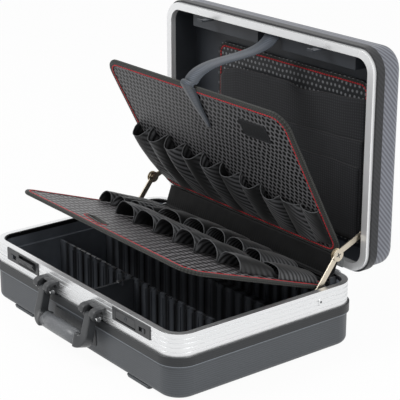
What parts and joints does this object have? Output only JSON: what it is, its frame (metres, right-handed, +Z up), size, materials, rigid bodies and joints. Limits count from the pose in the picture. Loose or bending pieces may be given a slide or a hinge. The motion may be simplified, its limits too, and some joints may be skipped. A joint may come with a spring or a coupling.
{
  "type": "hard tool case",
  "caption": "Hard tool case with aluminium-framed shells, a stayed lid, two folding tool boards with loops, a divided tray, latches and a folding handle.",
  "frame": {"origin": "on the floor, under the middle of the base", "axes": "+X to the right as seen from the latches, +Y from the latches to the hinge, +Z up"},
  "size_m": [0.48, 0.4318, 0.4294],
  "materials": {
    "abs_shell": "fine grain, satin",
    "aluminium_band": "brushed",
    "liner": "smooth moulded",
    "rubber_foot": "matt",
    "divider": "smooth",
    "steel": "bright zinc",
    "stay_nickel": "satin nickel",
    "chromed": "polished",
    "vinyl_weave": "embossed weave",
    "vinyl_smooth": "fine grain",
    "binding_tape": "sewn binding",
    "webbing": "woven webbing",
    "latch_grey": "dark powder coat",
    "handle_dark": "satin",
    "grip_grey": "satin"
  },
  "bodies": {
    "base": {"base_shell": "abs_shell", "base_feet": "rubber_foot", "base_frame": "aluminium_band", "base_liner": "liner", "front_divider": "divider", "rear_divider": "divider", "cross_divider": "divider", "divider_clips": "steel", "hinge_leaf_base": "steel", "hinge_pin": "steel", "hinge_rivets_base": "steel", "stay_pins": "stay_nickel", "upper_rod": "steel", "lower_rod": "steel", "rod_rail": "aluminium_band", "latch_plate_left": "latch_grey", "latch_plate_right": "latch_grey", "hasp_pins": "steel", "handle_brackets": "handle_dark", "handle_pins": "chromed"},
    "lid": {"lid_shell": "abs_shell", "lid_frame": "aluminium_band", "lid_liner": "liner", "document_board": "vinyl_weave", "document_pockets": "vinyl_smooth", "lid_catches": "chromed", "stay_tracks": "steel", "hinge_leaf_lid": "steel", "hinge_rivets_lid": "steel", "strap": "webbing"},
    "lower_arm_left": {"stay_lower_left": "stay_nickel", "elbow_pin_left": "stay_nickel"},
    "lower_arm_right": {"stay_lower_right": "stay_nickel", "elbow_pin_right": "stay_nickel"},
    "upper_arm_left": {"stay_upper_left": "stay_nickel"},
    "upper_arm_right": {"stay_upper_right": "stay_nickel"},
    "strip": {"upper_strip": "vinyl_smooth"},
    "upper_board": {"upper_board": "vinyl_weave", "upper_binding": "binding_tape", "upper_loops": "vinyl_smooth"},
    "lower_board": {"lower_board": "vinyl_weave", "lower_binding": "binding_tape", "lower_loops_front": "vinyl_smooth", "lower_loops_rear": "vinyl_smooth", "lower_strip": "vinyl_smooth"},
    "hasp_left": {"latch_hasp_left": "latch_grey"},
    "hasp_right": {"latch_hasp_right": "latch_grey"},
    "plug_left": {"lock_plug_left": "chromed"},
    "plug_right": {"lock_plug_right": "chromed"},
    "slider_left": {"latch_slider_left": "handle_dark"},
    "slider_right": {"latch_slider_right": "handle_dark"},
    "handle": {"handle_bail": "handle_dark", "handle_grip": "grip_grey"}
  },
  "joints": [
    {"name": "lid_hinge", "type": "hinge", "parent": "base", "child": "lid", "pos_m": [0, 0.171, 0.0924], "axis": [1, 0, 0], "range_deg": [0, 90], "deforming": ["strap"]},
    {"name": "stay_pivot_left", "type": "hinge", "parent": "base", "child": "lower_arm_left", "pos_m": [-0.222, 0.0927, 0.0832], "axis": [1, 0, 0], "range_deg": [0, 108.5]},
    {"name": "stay_elbow_left", "type": "hinge", "parent": "lower_arm_left", "child": "upper_arm_left", "pos_m": [-0.222, 0.136, 0.139], "axis": [1, 0, 0], "range_deg": [-127.5, 0]},
    {"name": "stay_pivot_right", "type": "hinge", "parent": "base", "child": "lower_arm_right", "pos_m": [0.222, 0.0927, 0.0832], "axis": [1, 0, 0], "range_deg": [0, 108.5]},
    {"name": "stay_elbow_right", "type": "hinge", "parent": "lower_arm_right", "child": "upper_arm_right", "pos_m": [0.222, 0.136, 0.139], "axis": [1, 0, 0], "range_deg": [-127.5, 0]},
    {"name": "strip_hinge", "type": "hinge", "parent": "base", "child": "strip", "pos_m": [0, 0.1465, 0.091], "axis": [1, 0, 0], "range_deg": [0, 19.8]},
    {"name": "upper_fold", "type": "hinge", "parent": "strip", "child": "upper_board", "pos_m": [0, 0.15908, 0.12633], "axis": [1, 0, 0], "range_deg": [0, 43.3]},
    {"name": "lower_hinge", "type": "hinge", "parent": "base", "child": "lower_board", "pos_m": [0, 0.1465, 0.08], "axis": [1, 0, 0], "range_deg": [0, 19.3]},
    {"name": "hasp_left_hinge", "type": "hinge", "parent": "base", "child": "hasp_left", "pos_m": [-0.128, -0.1618, 0.0821], "axis": [1, 0, 0], "range_deg": [-32, 0]},
    {"name": "hasp_right_hinge", "type": "hinge", "parent": "base", "child": "hasp_right", "pos_m": [0.128, -0.1618, 0.0821], "axis": [1, 0, 0], "range_deg": [0, 32]},
    {"name": "lock_left", "type": "hinge", "parent": "hasp_left", "child": "plug_left", "pos_m": [-0.128, -0.16723, 0.08626], "axis": [0, -0.848, -0.5299], "range_deg": [0, 90]},
    {"name": "lock_right", "type": "hinge", "parent": "hasp_right", "child": "plug_right", "pos_m": [0.128, -0.1642, 0.0885], "axis": [0, -1, 0], "range_deg": [0, 90]},
    {"name": "slider_left_travel", "type": "slide", "parent": "base", "child": "slider_left", "axis": [1, 0, 0], "range_m": [0, 0.008]},
    {"name": "slider_right_travel", "type": "slide", "parent": "base", "child": "slider_right", "axis": [-1, 0, 0], "range_m": [0, 0.008]},
    {"name": "handle_hinge", "type": "hinge", "parent": "base", "child": "handle", "pos_m": [0, -0.175, 0.0735], "axis": [-1, 0, 0], "range_deg": [0, 80]}
  ],
  "couplings": [
    {"joint": "stay_pivot_left", "follows": "lid_hinge", "ratio": 1.2},
    {"joint": "stay_pivot_right", "follows": "lid_hinge", "ratio": 1.2},
    {"joint": "stay_elbow_left", "follows": "lid_hinge", "ratio": -1.41},
    {"joint": "stay_elbow_right", "follows": "lid_hinge", "ratio": -1.41},
    {"joint": "strip_hinge", "follows": "lid_hinge", "ratio": 0.21778},
    {"joint": "upper_fold", "follows": "lid_hinge", "ratio": 0.47889},
    {"joint": "lower_hinge", "follows": "lid_hinge", "ratio": 0.21222}
  ]
}
